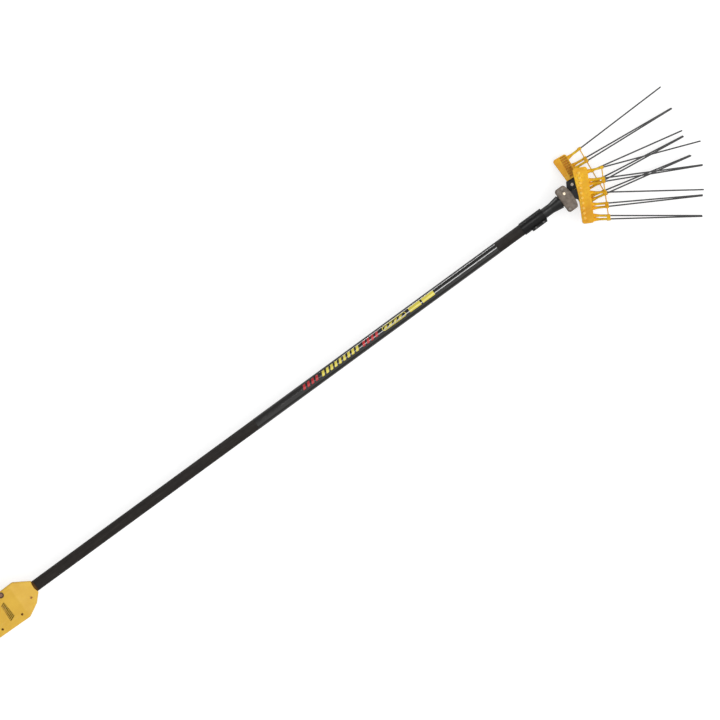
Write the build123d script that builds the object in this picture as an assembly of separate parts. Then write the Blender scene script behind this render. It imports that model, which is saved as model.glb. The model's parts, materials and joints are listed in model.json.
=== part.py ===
from build123d import *
import math
import os

# Electric olive harvester: a motor housing on the end of a long pole, a drive shaft inside the pole,
# and a crank gearbox whose two combs swing opposite ways.
# The tool lies on its flat side. +X runs along the pole to the combs, +Z is up from the floor,
# and the origin is on the floor under the middle of the motor housing. Millimetres and degrees.

# Fits
RUNNING_FIT = 0.05
SEAT_FIT = 0.05
SLIDE_GAP = 0.3
END_FLOAT = 0.5

# Combs
COMB_THICKNESS = 37.0
COMB_GAP = 6.0
BAR_BACK = 22.0
BAR_FRONT = 15.0
BAR_FLARE = 9.0
BAR_OVERHANG = 9.0
BAR_WALL = 3.5
POCKET_DEPTH = 12.0
POCKET_SETBACK = 8.0
BAR_CORNER = 8.0
BAR_BEND = 40.0
BAR_EDGE = 2.0
RIB_WIDTH = 2.5
KNOB_COUNT = 10
KNOB_DIAMETER = 9.5
KNOB_RISE = 3.0
KNOB_SETBACK = 12.5
KNOB_END = 16.6
RIBS_PER_KNOB = 2
STATION_PITCH = 38.0
STATION_FANS = (7.0, 0.5, -6.5, -2.3, -7.2)
STATION_TINES = (1, 2, 1, 2, 2)
STATION_REACH = (302.0, 296.0, 291.0, 284.0, 276.0)
TIP_X = 64.0
NOZZLE_DIAMETER = 7.5
NOZZLE_ROOT_DIAMETER = 13.0
NOZZLE_ROOT_LENGTH = 18.0
TIP_BLOCK_LENGTH = 11.0
TIP_BLOCK_DIAMETER = 9.5
TIP_RIB_DIAMETER = 3.5
TINE_DIAMETER = 4.5
TINE_GRIP = 38.0
PAIR_PITCH = 10.0
PAIR_RISE = 10.0
PAIR_TOE_IN = 0.8
PAIR_SPLAY = 1.5

# Swing of the combs
COMB_SWING = 12.0
FRONT_COMB_ANGLE = -28.2
REAR_COMB_ANGLE = -5.8
COMB_REACH = 41.0
COMB_OFFSET = 23.0
COMB_SLIDE = -2.5

# Motor housing, as deep as the two combs so that the tool lies level
HOUSING_DEPTH = 2 * COMB_THICKNESS + COMB_GAP
HOUSING_LENGTH = 240.0
HOUSING_LEFT = 50.0
HOUSING_RIGHT = 66.0
HOUSING_TAPER = 3.0
HOUSING_WALL = 3.0
LEFT_FLARE = 48.0
RIGHT_CHEEK_X = 24.0
RIGHT_CHEEK_Y = 44.5
RIGHT_FLARE = 64.0
REAR_CHAMFER = 25.0
CORNER_ROUND = 10.0
EDGE_ROUND = 6.0
CREASE_ROUND = 30.0
PARTING_DEPTH = 0.8
PARTING_WIDTH = 1.2
NOSE_CHEEK = 2.4
NOSE_WALL = 3.0
MOUTH_SAG = 4.4
NOSE_SLOPE = 62.0
RIB_THICKNESS = 3.0
POLE_RIBS = (8.0, 36.0, 64.0)
VENT_COUNT = 10
VENT_PITCH = 5.4
VENT_LENGTH = 18.0
VENT_GROWTH = 0.6
VENT_WIDTH = 2.8
VENT_TILT = 21.6
VENT_SETBACK = 109.0
VENT_MIDDLE_Y = -13.0
NOSE_SCREW_SETBACK = 28.0
NOSE_SCREW_GAP = 2.0
WIDE_SCREW_PLACES = ((79.0, -46.0), (153.0, -48.0), (214.0, -40.0), (214.0, 27.0), (150.0, 39.0))
SCREW_DIAMETER = 4.0
SCREW_HEAD = 6.6
SCREW_HEAD_HEIGHT = 3.0
SCREW_SEAT = 20.0
SCREW_DEPTH = 22.0
BOSS_DIAMETER = 12.0
COUNTERBORE = 7.4

# Switch
SWITCH_SETBACK = 97.0
SWITCH_Y = 37.5
SWITCH_NECK = 14.0
SWITCH_SEAT_DEPTH = 2.5
SWITCH_WELL_WALL = 2.0
SWITCH_WELL_FLOOR = 3.5
BEZEL_DIAMETER = 18.0
BEZEL_HEIGHT = 4.0
BUTTON_DIAMETER = 10.5
BUTTON_PROUD = 3.0
BUTTON_TRAVEL = 2.5
BUTTON_LENGTH = 16.0
BUTTON_ROUND = 1.2
SWITCH_BODY_DIAMETER = 14.5
SWITCH_BODY_WALL = 2.0
SPRING_ROOM = 10.5

# Cable gland
GLAND_THREAD = 16.0
GLAND_BORE = 10.0
GLAND_FLANGE = 22.0
GLAND_FLANGE_LENGTH = 5.0
GLAND_INSIDE = 12.0
GLAND_THREAD_OUT = 9.0
GLAND_NUT_DIAMETER = 20.0
GLAND_NUT_LENGTH = 18.0
CABLE_BORE = 8.5
LOCKNUT_LENGTH = 5.0

# Pole
POLE_DIAMETER = 35.0
POLE_WALL = 1.5
POLE_LENGTH = 1960.0
POLE_INSERT = 70.0
SLEEVE_SETBACK = 824.0
SLEEVE_LENGTH = 895.0
SLEEVE_WALL = 0.5
SHAFT_DIAMETER = 8.0
BUSH_COUNT = 4
BUSH_LENGTH = 22.0
BUSH_WEB = 4.0
BUSH_HUB = 14.0

# Bearings of the shaft line
BEARING_OUTER = 22.0
BEARING_WIDTH = 7.0
SHIELD_RIM = 2.0
SHIELD_DEPTH = 0.5

# Motor
MOTOR_DIAMETER = 58.0
MOTOR_WALL = 2.5
MOTOR_LENGTH = 70.0
MOTOR_SETBACK = 110.0
BELL_THICKNESS = 9.0
STATOR_LENGTH = 36.0
STATOR_TEETH = 9
STATOR_YOKE = 4.0
STATOR_BORE = 27.0
TOOTH_WIDTH = 4.0
TOOTH_SHOE = 1.5
SLOT_MOUTH = 2.0
AIR_GAP = 0.8
COIL_OVERHANG = 4.0
MAGNET_COUNT = 6
MAGNET_THICKNESS = 2.5
MAGNET_ARC = 50.0
MOTOR_SADDLES = (10.0, 60.0)
MOTOR_SCREW_INSET = 3.5
MOTOR_SCREW_DIAMETER = 4.0
MOTOR_SCREW_ANGLES = (30, 150, 270)
COUPLING_DIAMETER = 16.0
COUPLING_LENGTH = 34.0
COUPLING_GROOVE = 1.0
FAN_DIAMETER = 50.0
FAN_WIDTH = 9.0
FAN_GAP = 4.0
FAN_DISC = 2.0
FAN_VANES = 9
FAN_VANE = 1.6
FAN_HUB = 16.0

# Control board
BOARD_WIDTH = 64.0
BOARD_HEIGHT = 56.0
BOARD_THICKNESS = 1.6
BOARD_GAP = 13.0
BOARD_RAIL = 4.0
RAIL_DEPTH = 5.0
HEAT_SINK_WIDTH = 26.0
HEAT_SINK_HEIGHT = 40.0
HEAT_SINK_DEPTH = 14.0
HEAT_SINK_BASE = 3.0
HEAT_SINK_FINS = 5
FIN_THICKNESS = 1.6
CAPACITOR_DIAMETER = 11.0
CAPACITOR_LENGTH = 14.0
CAPACITOR_PITCH = 13.0
CAPACITOR_COUNT = 3

# Collar and adapter at the head
COLLAR_LENGTH = 80.0
COLLAR_WALL = 2.6
COLLAR_LIP = 2.0
COLLAR_EAR = 5.0
COLLAR_EAR_LENGTH = 56.0
COLLAR_EAR_DEPTH = 24.0
COLLAR_SLOT = 2.5
COLLAR_SCREW = 4.0
COLLAR_SCREW_HEAD = 7.0
COLLAR_SCREW_SHARES = (0.25, 0.75)
NECK_LENGTH = 30.0
FLARE_LENGTH = 33.0
FLARE_DIAMETER = 42.0
GROOVE_WIDTH = 3.0
GROOVE_DIAMETER = 37.0
SPIGOT_LENGTH = 60.0
ADAPTER_BORE = 18.0
ADAPTER_NOSE = 30.0

# Gearbox
GEARBOX_WIDTH = 80.0
GEARBOX_SHIFT = -4.0
GEARBOX_SIDE = 33.0
GEARBOX_CROWN = 7.5
GEARBOX_CORNER = 9.0
GEARBOX_BACK = 7.0
GEARBOX_FLOOR = 6.0
GEARBOX_EDGE = 3.0
COVER_THICKNESS = 6.0
CAVITY_WIDTH = 50.0
CAVITY_MARGIN = 1.5
COVER_SCREW = 5.0
COVER_SCREW_HEAD = 8.5
COVER_SCREW_HEAD_HEIGHT = 3.0
COVER_SCREW_LENGTH = 22.0
COVER_SCREW_INSET = 9.0
PLUG_X = 21.0
PLUG_Y = 12.4
PLUG_DIAMETER = 6.0
PLUG_HEAD = 9.0
PLUG_HEAD_HEIGHT = 3.0
PLUG_SOCKET = 4.0

# Crank and levers
PIVOT_SETBACK = 34.0
PIN_DIAMETER = 8.0
PIN_BLIND = 3.5
PIVOT_BUSH_DIAMETER = 11.0
PIVOT_BOSS_DIAMETER = 17.0
FRONT_CRANK_REACH = 21.0
REAR_CRANK_REACH = 13.0
ECCENTRIC_DIAMETER = 14.0
RING_DIAMETER = 22.0
RING_WIDTH = 7.0
FORK_CLEARANCE_SHARE = 0.42
PRONG_WIDTH = 5.0
PRONG_LENGTH = 4.0
PRONG_REACH = 8.0
LEVER_THICKNESS = 10.0
TONGUE_WIDTH = 32.0
FRONT_TONGUE_SHIFT = 6.5
REAR_TONGUE_SHIFT = -5.5
TONGUE_END = 8.0
TONGUE_NECK = 4.0
BOLT_DIAMETER = 5.0
BOLT_HEAD = 9.0
BOLT_HEAD_HEIGHT = 5.0
BOLT_PLACES = (-14.5, 1.0)
BOLT_GRIP = 7.0
HEX_SOCKET = 4.0

# Places worked out from the sizes
AXIS_Z = HOUSING_DEPTH / 2
NOSE_X = HOUSING_LENGTH / 2
REAR_X = -HOUSING_LENGTH / 2
NOSE_HALF = POLE_DIAMETER / 2 + NOSE_CHEEK
NOSE_DEPTH = POLE_DIAMETER + 2 * NOSE_WALL
POLE_REAR_X = NOSE_X - POLE_INSERT
POLE_FRONT_X = POLE_REAR_X + POLE_LENGTH
POLE_BORE = POLE_DIAMETER - 2 * POLE_WALL
SPIGOT_DIAMETER = POLE_BORE - 2 * SEAT_FIT
FLARE_X = POLE_FRONT_X + NECK_LENGTH
GROOVE_X = FLARE_X + FLARE_LENGTH
HEAD_X = GROOVE_X + GROOVE_WIDTH
PIVOT_X = HEAD_X + PIVOT_SETBACK
SPIGOT_X = POLE_FRONT_X - SPIGOT_LENGTH
BAR_LENGTH = (len(STATION_FANS) - 1) * STATION_PITCH + 2 * BAR_OVERHANG
COMB_RISE = COMB_GAP / 2 + COMB_THICKNESS / 2
BAR_OUTER = COMB_THICKNESS / 2 - KNOB_RISE
KNOB_PITCH = (BAR_LENGTH - 2 * KNOB_END) / (KNOB_COUNT - 1)
HALF_SWING = COMB_SWING / 2
FRONT_THROW = FRONT_CRANK_REACH * math.tan(math.radians(HALF_SWING))
REAR_THROW = REAR_CRANK_REACH * math.tan(math.radians(HALF_SWING))
CAVITY_HALF = COMB_RISE + LEVER_THICKNESS / 2 + CAVITY_MARGIN
GEARBOX_LOW = AXIS_Z - CAVITY_HALF - GEARBOX_FLOOR
COVER_LOW = AXIS_Z + CAVITY_HALF
COVER_HIGH = COVER_LOW + COVER_THICKNESS
MOTOR_FRONT_X = NOSE_X - MOTOR_SETBACK
MOTOR_REAR_X = MOTOR_FRONT_X - MOTOR_LENGTH
MOTOR_MIDDLE_X = (MOTOR_FRONT_X + MOTOR_REAR_X) / 2
FAN_FRONT_X = MOTOR_REAR_X - FAN_GAP
FAN_REAR_X = FAN_FRONT_X - FAN_WIDTH
BOARD_X = FAN_REAR_X - BOARD_GAP
COUPLING_X = (POLE_REAR_X + MOTOR_FRONT_X) / 2
TOP_Z = HOUSING_DEPTH
SWITCH_X = NOSE_X - SWITCH_SETBACK
SWITCH_SEAT = TOP_Z - SWITCH_SEAT_DEPTH
SWITCH_WELL = SWITCH_SEAT - SWITCH_WELL_FLOOR
BUTTON_LOW = TOP_Z + BUTTON_PROUD - BUTTON_LENGTH
SWITCH_FLOOR = BUTTON_LOW - BUTTON_TRAVEL - SPRING_ROOM
VENT_X = NOSE_X - VENT_SETBACK
NOSE_SCREW_Y = -POLE_DIAMETER / 2 - NOSE_SCREW_GAP - SCREW_DIAMETER / 2
SCREW_PLACES = ((NOSE_SCREW_SETBACK, NOSE_SCREW_Y),) + WIDE_SCREW_PLACES
FAR = 4000.0
NEARLY_ONE = 0.99


# Basic solids
def cyl_x(diameter, x0, x1, y=0.0, z=AXIS_Z):
    """A round bar along X."""
    return extrude(Plane(origin=(x0, y, z), z_dir=(1, 0, 0)) * Circle(diameter / 2), amount=x1 - x0)


def tube_x(outer, inner, x0, x1, y=0.0, z=AXIS_Z):
    """A round tube along X."""
    return cyl_x(outer, x0, x1, y, z) - cyl_x(inner, x0, x1, y, z)


def cyl_z(diameter, x, y, z0, z1):
    """A round bar along Z."""
    return extrude(Plane(origin=(x, y, z0)) * Circle(diameter / 2), amount=z1 - z0)


def block(x0, x1, y0, y1, z0, z1):
    """A rectangular block between two corners."""
    corner = Pos((x0 + x1) / 2, (y0 + y1) / 2, (z0 + z1) / 2)
    return corner * Box(x1 - x0, y1 - y0, z1 - z0)


def turned_x(points, y=0.0):
    """A turned piece: (x, radius) points revolved about the shaft line."""
    face = make_face(Polyline(*[(x, y, AXIS_Z + r) for x, r in points], close=True))
    return revolve(face, Axis((0, y, AXIS_Z), (1, 0, 0)))


def hex_x(across, x0, x1):
    """A hexagonal bar along X on the shaft line."""
    corner_radius = across / math.sqrt(3)
    sketch = Plane(origin=(x0, 0, AXIS_Z), z_dir=(1, 0, 0)) * RegularPolygon(corner_radius, 6)
    return extrude(sketch, amount=x1 - x0)


def hex_z(across, x, y, z0, z1):
    """A hexagonal bar along Z."""
    sketch = Plane(origin=(x, y, z0)) * RegularPolygon(across / math.sqrt(3), 6)
    return extrude(sketch, amount=z1 - z0)


def fused(pieces):
    """One solid from pieces that overlap."""
    whole = pieces[0]
    for piece in pieces[1:]:
        whole = whole + piece
    return whole


def group(pieces):
    """Separate solids kept in one node."""
    return Compound(children=[Solid(p.solid().wrapped) for p in pieces])


def save(node, shape):
    """Writes one node's file."""
    export_step(shape, f"parts/{node}.step")


# Motor housing
def housing_outline(inset):
    """The housing's outline from above, moved in by a wall thickness."""
    left_rear = HOUSING_LEFT - HOUSING_TAPER
    right_rear = HOUSING_RIGHT - HOUSING_TAPER
    points = [
        (NOSE_X, NOSE_HALF),
        (NOSE_X - LEFT_FLARE, HOUSING_LEFT),
        (REAR_X + REAR_CHAMFER, left_rear),
        (REAR_X, left_rear - REAR_CHAMFER),
        (REAR_X, -right_rear + REAR_CHAMFER),
        (REAR_X + REAR_CHAMFER, -right_rear),
        (NOSE_X - RIGHT_FLARE, -HOUSING_RIGHT),
        (NOSE_X - RIGHT_CHEEK_X, -RIGHT_CHEEK_Y),
        (NOSE_X, -NOSE_HALF),
    ]
    face = make_face(Polyline(*points, close=True))
    corners = face.vertices().filter_by(lambda v: v.X < NOSE_X - 1)
    outline = fillet(corners, CORNER_ROUND)
    return offset(outline, -inset) if inset else outline


def runs_across(edge):
    """Whether an edge runs along Y."""
    return abs(edge.tangent_at(0.5).Y) > NEARLY_ONE


def runs_up(edge):
    """Whether an edge runs along Z."""
    return abs(edge.tangent_at(0.5).Z) > NEARLY_ONE


def housing_blank(inset):
    """The housing as a solid block with a sloping nose, moved in by a wall thickness."""
    blank = extrude(Plane(origin=(0, 0, inset)) * housing_outline(inset), amount=HOUSING_DEPTH - 2 * inset)
    fall = HOUSING_DEPTH / 2 - NOSE_DEPTH / 2
    angle = math.degrees(math.atan2(fall, NOSE_SLOPE))
    for side in (1, -1):
        tip = Pos(NOSE_X, 0, AXIS_Z + side * (NOSE_DEPTH / 2 - inset))
        wedge = Box(FAR, FAR, FAR, align=(Align.CENTER, Align.CENTER, Align.MIN if side > 0 else Align.MAX))
        blank = blank - tip * Rot(0, side * angle, 0) * wedge
    front = NOSE_X - inset - SLIDE_GAP
    rear = REAR_X + inset + SLIDE_GAP
    creases = [e for e in blank.edges() if runs_across(e) and rear < e.center().X < front]
    blank = fillet(creases, CREASE_ROUND)
    rims = [e for e in blank.edges() if runs_across(e) and e.center().X < rear]
    rims += [e for e in blank.edges() if not runs_across(e) and not runs_up(e) and e.center().X < front]
    return fillet(rims, EDGE_ROUND - inset / 2)


def cross_rib(x, diameter):
    """A rib across the inside of the housing with a round seat in it."""
    plate = block(x - RIB_THICKNESS / 2, x + RIB_THICKNESS / 2, -FAR / 2, FAR / 2, 0, HOUSING_DEPTH)
    return plate - cyl_x(diameter, x - RIB_THICKNESS, x + RIB_THICKNESS)


def screw_place(place):
    """A housing screw's place, from its setback behind the nose."""
    return NOSE_X - place[0], place[1]


def board_rail():
    """The two slotted rails that hold the control board's edges."""
    half = BOARD_WIDTH / 2
    rails = block(BOARD_X - BOARD_RAIL, BOARD_X + BOARD_RAIL, -half, half, 0, HOUSING_DEPTH)
    keep = BOARD_HEIGHT / 2 - RAIL_DEPTH
    rails = rails - block(-FAR, FAR, -FAR, FAR, AXIS_Z - keep, AXIS_Z + keep)
    return rails - board_blank(SEAT_FIT)


def board_blank(grow=0.0):
    """The control board, or the slot that it slides into."""
    half = BOARD_THICKNESS / 2 + grow
    return block(BOARD_X - half, BOARD_X + half, -BOARD_WIDTH / 2 - grow, BOARD_WIDTH / 2 + grow,
                 AXIS_Z - BOARD_HEIGHT / 2 - grow, AXIS_Z + BOARD_HEIGHT / 2 + grow)


def vent_slots():
    """The slanted row of slots over the motor's front end."""
    slots = []
    for i in range(VENT_COUNT):
        y = VENT_MIDDLE_Y + (i - (VENT_COUNT - 1) / 2) * VENT_PITCH
        place = Plane(origin=(VENT_X, y, AXIS_Z)) * Rot(0, 0, VENT_TILT)
        length = VENT_LENGTH + ((VENT_COUNT - 1) / 2 - i) * VENT_GROWTH
        slots.append(extrude(place * SlotOverall(length, VENT_WIDTH), amount=HOUSING_DEPTH))
    return slots


def parting_groove():
    """The shallow groove round the joint of the two shells."""
    outline = housing_outline(0)
    band = offset(outline, PARTING_DEPTH) - offset(outline, -PARTING_DEPTH)
    return extrude(Plane(origin=(0, 0, AXIS_Z - PARTING_WIDTH / 2)) * band, amount=PARTING_WIDTH)


def nose_mouth():
    """The hollow curve of the nose's end, seen from above."""
    radius = (NOSE_HALF ** 2 + MOUTH_SAG ** 2) / (2 * MOUTH_SAG)
    return cyl_z(2 * radius, NOSE_X - MOUTH_SAG + radius, 0, -1, HOUSING_DEPTH + 1)


def housing_shells():
    """The two half shells with their ribs, rails, screw bosses and openings."""
    outer = housing_blank(0)
    inner = housing_blank(HOUSING_WALL)
    ribs = [cross_rib(NOSE_X - setback, POLE_DIAMETER + 2 * SEAT_FIT) for setback in POLE_RIBS]
    ribs += [cross_rib(MOTOR_FRONT_X - setback, MOTOR_DIAMETER + 2 * SEAT_FIT) for setback in MOTOR_SADDLES]
    for place in SCREW_PLACES:
        x, y = screw_place(place)
        ribs.append(cyl_z(BOSS_DIAMETER, x, y, 0, HOUSING_DEPTH))
    ribs.append(board_rail())
    well = BEZEL_DIAMETER + 2 * SLIDE_GAP + 2 * SWITCH_WELL_WALL
    ribs.append(cyl_z(well, SWITCH_X, SWITCH_Y, SWITCH_WELL, HOUSING_DEPTH))
    body = outer - inner
    body = fused([body] + [rib & inner for rib in ribs])
    body = body - cyl_x(POLE_DIAMETER + 2 * SEAT_FIT, POLE_REAR_X, NOSE_X + 1)
    body = body - nose_mouth() - parting_groove()
    body = body - cyl_x(GLAND_THREAD + 2 * SEAT_FIT, REAR_X - 1, REAR_X + HOUSING_WALL + 1)
    for place in SCREW_PLACES:
        x, y = screw_place(place)
        hole_low = AXIS_Z - SCREW_DEPTH - END_FLOAT
        body = body - cyl_z(SCREW_DIAMETER + 2 * SEAT_FIT, x, y, hole_low, HOUSING_DEPTH)
        body = body - cyl_z(COUNTERBORE, x, y, AXIS_Z + SCREW_SEAT, HOUSING_DEPTH + 1)
    body = body - cyl_z(SWITCH_NECK + 2 * SEAT_FIT, SWITCH_X, SWITCH_Y, AXIS_Z, HOUSING_DEPTH + 1)
    body = body - cyl_z(BEZEL_DIAMETER + 2 * SLIDE_GAP, SWITCH_X, SWITCH_Y, SWITCH_SEAT, HOUSING_DEPTH + 1)
    for slot in vent_slots():
        body = body - slot
    upper = body & block(-FAR, FAR, -FAR, FAR, AXIS_Z, FAR)
    lower = body & block(-FAR, FAR, -FAR, FAR, -FAR, AXIS_Z)
    return upper, lower


def housing_screws():
    """The screws that close the shells, deep in their counterbores."""
    screws = []
    for place in SCREW_PLACES:
        x, y = screw_place(place)
        seat = AXIS_Z + SCREW_SEAT
        shank = cyl_z(SCREW_DIAMETER, x, y, AXIS_Z - SCREW_DEPTH, seat)
        head = cyl_z(SCREW_HEAD, x, y, seat, seat + SCREW_HEAD_HEIGHT)
        slot = hex_z(SCREW_DIAMETER - 1, x, y, seat + 1, seat + SCREW_HEAD_HEIGHT + 1)
        screws.append(shank + head - slot)
    return group(screws)


# Switch
def switch_bezel():
    """The ring on the shell and its neck through the wall."""
    high = SWITCH_SEAT + BEZEL_HEIGHT
    ring = cyl_z(BEZEL_DIAMETER, SWITCH_X, SWITCH_Y, SWITCH_SEAT, high)
    ring = chamfer(ring.faces().sort_by(Axis.Z)[-1].edges(), BEZEL_HEIGHT / 4)
    neck = cyl_z(SWITCH_NECK, SWITCH_X, SWITCH_Y, SWITCH_WELL, SWITCH_SEAT)
    bore = BUTTON_DIAMETER + 2 * SLIDE_GAP
    return ring + neck - cyl_z(bore, SWITCH_X, SWITCH_Y, SWITCH_WELL - 1, high + 1)


def switch_body():
    """The closed cup under the shell that holds the button's contacts."""
    cup = cyl_z(SWITCH_BODY_DIAMETER, SWITCH_X, SWITCH_Y, SWITCH_FLOOR - SWITCH_BODY_WALL, SWITCH_WELL)
    bore = BUTTON_DIAMETER + 2 * SLIDE_GAP
    return cup - cyl_z(bore, SWITCH_X, SWITCH_Y, SWITCH_FLOOR, SWITCH_WELL + 1)


def switch_button():
    """The round push button, domed at the edge."""
    button = cyl_z(BUTTON_DIAMETER, SWITCH_X, SWITCH_Y, BUTTON_LOW, BUTTON_LOW + BUTTON_LENGTH)
    return fillet(button.faces().sort_by(Axis.Z)[-1].edges(), BUTTON_ROUND)


# Cable gland
def cable_gland():
    """The threaded body through the rear wall, with its outer hexagon."""
    inside = REAR_X + GLAND_INSIDE
    outside = REAR_X - GLAND_FLANGE_LENGTH
    body = cyl_x(GLAND_THREAD, outside - GLAND_THREAD_OUT, inside)
    body = body + hex_x(GLAND_FLANGE, outside, REAR_X)
    return body - cyl_x(GLAND_BORE, outside - GLAND_THREAD_OUT - 1, inside + 1)


def gland_nut():
    """The domed nut that closes on the cable, with the cable's own bore."""
    start = REAR_X - GLAND_FLANGE_LENGTH
    end = start - GLAND_NUT_LENGTH
    grip = hex_x(GLAND_NUT_DIAMETER, start - GLAND_NUT_LENGTH / 2, start)
    dome = cyl_x(GLAND_NUT_DIAMETER, end, start - GLAND_NUT_LENGTH / 2)
    dome = fillet(dome.faces().sort_by(Axis.X)[0].edges(), GLAND_NUT_DIAMETER / 5)
    nut = grip + dome
    nut = nut - cyl_x(GLAND_THREAD + 2 * SEAT_FIT, start - GLAND_THREAD_OUT - END_FLOAT, start + 1)
    return nut - cyl_x(CABLE_BORE, end - 1, start)


def gland_locknut():
    """The nut inside the rear wall."""
    start = REAR_X + HOUSING_WALL
    nut = hex_x(GLAND_FLANGE, start, start + LOCKNUT_LENGTH)
    return nut - cyl_x(GLAND_THREAD + 2 * SEAT_FIT, start - 1, start + LOCKNUT_LENGTH + 1)


# Motor
def motor_can():
    """The motor's steel tube."""
    return tube_x(MOTOR_DIAMETER, MOTOR_DIAMETER - 2 * MOTOR_WALL, MOTOR_REAR_X, MOTOR_FRONT_X)


def motor_screw_places():
    """The motor's long screws, on a circle."""
    radius = MOTOR_DIAMETER / 2 - MOTOR_WALL - MOTOR_SCREW_INSET
    return [(radius * math.cos(math.radians(a)), AXIS_Z + radius * math.sin(math.radians(a)))
            for a in MOTOR_SCREW_ANGLES]


def end_bell(x0, x1, bearing_x0):
    """An end plate that plugs the can and seats a bearing."""
    bell = cyl_x(MOTOR_DIAMETER - 2 * MOTOR_WALL - 2 * SEAT_FIT, x0, x1)
    bell = bell - cyl_x(BEARING_OUTER + 2 * SEAT_FIT, bearing_x0, bearing_x0 + BEARING_WIDTH)
    bell = bell - cyl_x(SHAFT_DIAMETER + 2, x0 - 1, x1 + 1)
    for y, z in motor_screw_places():
        bell = bell - cyl_x(MOTOR_SCREW_DIAMETER + 2 * SEAT_FIT, x0 - 1, x1 + 1, y, z)
    return bell


def bearing(x0):
    """A ball bearing drawn as one ring with shallow shield grooves."""
    ring = tube_x(BEARING_OUTER, SHAFT_DIAMETER + 2 * RUNNING_FIT, x0, x0 + BEARING_WIDTH)
    shield_outer = BEARING_OUTER - 2 * SHIELD_RIM
    shield_inner = SHAFT_DIAMETER + 2 * SHIELD_RIM
    for face_x in (x0, x0 + BEARING_WIDTH):
        ring = ring - tube_x(shield_outer, shield_inner, face_x - SHIELD_DEPTH, face_x + SHIELD_DEPTH)
    return ring


def stator_core():
    """The laminated core: a yoke ring and its inward teeth."""
    x0 = MOTOR_MIDDLE_X - STATOR_LENGTH / 2
    x1 = MOTOR_MIDDLE_X + STATOR_LENGTH / 2
    outer = MOTOR_DIAMETER - 2 * MOTOR_WALL - 2 * SEAT_FIT
    core = tube_x(outer, outer - 2 * STATOR_YOKE, x0, x1)
    gap_angle = 360 / STATOR_TEETH
    reach = (outer / 2 - STATOR_YOKE + STATOR_BORE / 2) / 2
    depth = outer / 2 - STATOR_YOKE - STATOR_BORE / 2
    tooth = Pos(MOTOR_MIDDLE_X, 0, AXIS_Z + reach) * Box(STATOR_LENGTH, TOOTH_WIDTH, depth + 1)
    shoe = tube_x(STATOR_BORE + 2 * TOOTH_SHOE, STATOR_BORE, x0, x1)
    slit = Box(STATOR_LENGTH + 1, SLOT_MOUTH, 2 * TOOTH_SHOE + 2)
    slit = Pos(MOTOR_MIDDLE_X, 0, AXIS_Z + STATOR_BORE / 2) * slit
    axis = Axis((0, 0, AXIS_Z), (1, 0, 0))
    for i in range(STATOR_TEETH):
        shoe = shoe - slit.rotate(axis, (i + 0.5) * gap_angle)
    core = fused([core] + [tooth.rotate(axis, i * gap_angle) for i in range(STATOR_TEETH)]) + shoe
    core = core - cyl_x(STATOR_BORE, x0 - 1, x1 + 1)
    for y, z in motor_screw_places():
        core = core - cyl_x(MOTOR_SCREW_DIAMETER + 2 * SEAT_FIT, x0 - 1, x1 + 1, y, z)
    return core


def stator_windings():
    """One coil round each stator tooth."""
    outer = MOTOR_DIAMETER - 2 * MOTOR_WALL
    low = STATOR_BORE / 2 + TOOTH_SHOE + SLIDE_GAP
    high = outer / 2 - STATOR_YOKE - SLIDE_GAP - SEAT_FIT
    inner_width = TOOTH_WIDTH + 2 * SEAT_FIT
    room = 2 * low * math.tan(math.radians(180 / STATOR_TEETH)) - 2 * SLIDE_GAP
    middle = AXIS_Z + (low + high) / 2
    coil = Box(STATOR_LENGTH + 2 * COIL_OVERHANG, room, high - low)
    coil = fillet(coil.edges().filter_by(Axis.Z), room / 4)
    coil = coil - Box(STATOR_LENGTH + 2 * SEAT_FIT, inner_width, high - low + 1)
    coil = Pos(MOTOR_MIDDLE_X, 0, middle) * coil
    axis = Axis((0, 0, AXIS_Z), (1, 0, 0))
    coils = [coil.rotate(axis, i * 360 / STATOR_TEETH) for i in range(STATOR_TEETH)]
    room_inside_yoke = cyl_x(2 * high, MOTOR_REAR_X, MOTOR_FRONT_X)
    for y, z in motor_screw_places():
        hole = cyl_x(MOTOR_SCREW_DIAMETER + 2 * SLIDE_GAP, MOTOR_REAR_X - 1, MOTOR_FRONT_X + 1, y, z)
        room_inside_yoke = room_inside_yoke - hole
    return group([coil & room_inside_yoke for coil in coils])


def rotor_diameter():
    """The rotor core's diameter inside the magnets and the air gap."""
    return STATOR_BORE - 2 * AIR_GAP - 2 * MAGNET_THICKNESS


def rotor_core():
    """The rotor's steel core on the motor shaft."""
    x0 = MOTOR_MIDDLE_X - STATOR_LENGTH / 2
    return tube_x(rotor_diameter(), SHAFT_DIAMETER + 2 * SEAT_FIT, x0, x0 + STATOR_LENGTH)


def rotor_magnets():
    """Curved magnets round the rotor core."""
    x0 = MOTOR_MIDDLE_X - STATOR_LENGTH / 2
    inner = rotor_diameter() / 2 + SEAT_FIT
    outer = rotor_diameter() / 2 + MAGNET_THICKNESS
    magnets = []
    for i in range(MAGNET_COUNT):
        middle = i * 360 / MAGNET_COUNT
        arc_out = CenterArc((0, 0), outer, middle - MAGNET_ARC / 2, MAGNET_ARC)
        arc_in = CenterArc((0, 0), inner, middle - MAGNET_ARC / 2, MAGNET_ARC)
        sides = [Line(arc_out @ 0, arc_in @ 0), Line(arc_out @ 1, arc_in @ 1)]
        face = make_face([arc_out, arc_in] + sides)
        place = Plane(origin=(x0, 0, AXIS_Z), z_dir=(1, 0, 0))
        magnets.append(extrude(place * face, amount=STATOR_LENGTH))
    return group(magnets)


def motor_shaft():
    """The rotor's shaft, from the fan to the coupling."""
    return cyl_x(SHAFT_DIAMETER, FAN_REAR_X - FAN_DISC, COUPLING_X - END_FLOAT / 2)


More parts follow.
